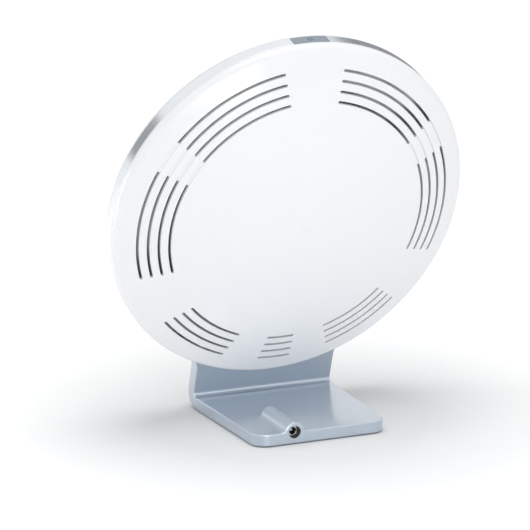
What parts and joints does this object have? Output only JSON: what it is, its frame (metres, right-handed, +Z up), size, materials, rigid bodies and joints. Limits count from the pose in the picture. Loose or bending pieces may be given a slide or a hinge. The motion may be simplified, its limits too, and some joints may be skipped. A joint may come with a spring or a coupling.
{
  "type": "light therapy lamp",
  "caption": "Round daylight therapy lamp with a domed vented back, silver rim, top power button and a fixed L-shaped stand with a low-voltage socket.",
  "frame": {"origin": "on the floor, below the middle of the lamp's box", "axes": "+Z up; -Y the side the light shines to; +Y the vented back and the socket; +X right when seen from the front"},
  "size_m": [0.3, 0.1324, 0.3186],
  "materials": {
    "white_shell": "glossy white moulded plastic",
    "silver_band": "silver paint on plastic, satin gloss",
    "opal_front": "opal acrylic",
    "film": "frosted film",
    "clear_acrylic": "polished acrylic",
    "white_sheet": "matt white film",
    "aluminium_plate": "mill finish",
    "circuit_board": "solder mask",
    "diode": "phosphor in white package",
    "button_grey": "satin grey-blue",
    "black_plastic": "moulded black",
    "coil": "ferrite and enamelled wire",
    "can_aluminium": "sleeved can",
    "header_white": "nylon",
    "brass_post": "turned",
    "screw_steel": "zinc plated",
    "bracket_steel": "zinc plated sheet",
    "ballast_steel": "blackened plate",
    "stand_satin": "satin blue-grey paint",
    "rubber_pad": "matt",
    "socket_nickel": "nickel plated",
    "wire_black": "insulated wire",
    "wire_white": "insulated wire"
  },
  "bodies": {
    "lamp": {"rear_cover": "white_shell", "ring_housing": "silver_band", "front_diffuser": "opal_front", "diffuser_film": "film", "light_guide_plate": "clear_acrylic", "reflector_sheet": "white_sheet", "back_plate": "aluminium_plate", "led_strip": "circuit_board", "led_chips": "diode", "switch_body": "black_plastic", "switch_board": "circuit_board", "driver_board": "circuit_board", "driver_inductor": "coil", "driver_capacitors": "can_aluminium", "driver_chips": "black_plastic", "driver_connectors": "header_white", "board_standoffs": "brass_post", "board_screws": "screw_steel", "cover_screws": "screw_steel", "plate_screws": "screw_steel", "neck_screws": "screw_steel", "neck_bracket": "bracket_steel", "stand_shell": "stand_satin", "stand_cover": "stand_satin", "stand_cover_screws": "screw_steel", "ballast_plate": "ballast_steel", "ballast_screws": "screw_steel", "bracket_screws": "screw_steel", "rubber_feet": "rubber_pad", "jack_housing": "black_plastic", "jack_ring": "socket_nickel", "jack_pin": "socket_nickel", "jack_terminals": "brass_post", "supply_leads": "wire_black", "switch_leads": "wire_white", "diode_leads": "wire_white"},
    "power_button": {"button_cap": "button_grey", "switch_plunger": "black_plastic"}
  },
  "joints": [
    {"name": "power_button_press", "type": "slide", "parent": "lamp", "child": "power_button", "axis": [0, -0.3107, -0.9505], "range_m": [0, 0.0008], "stiffness_N_per_m": 2500, "springref_m": -0.0004}
  ]
}
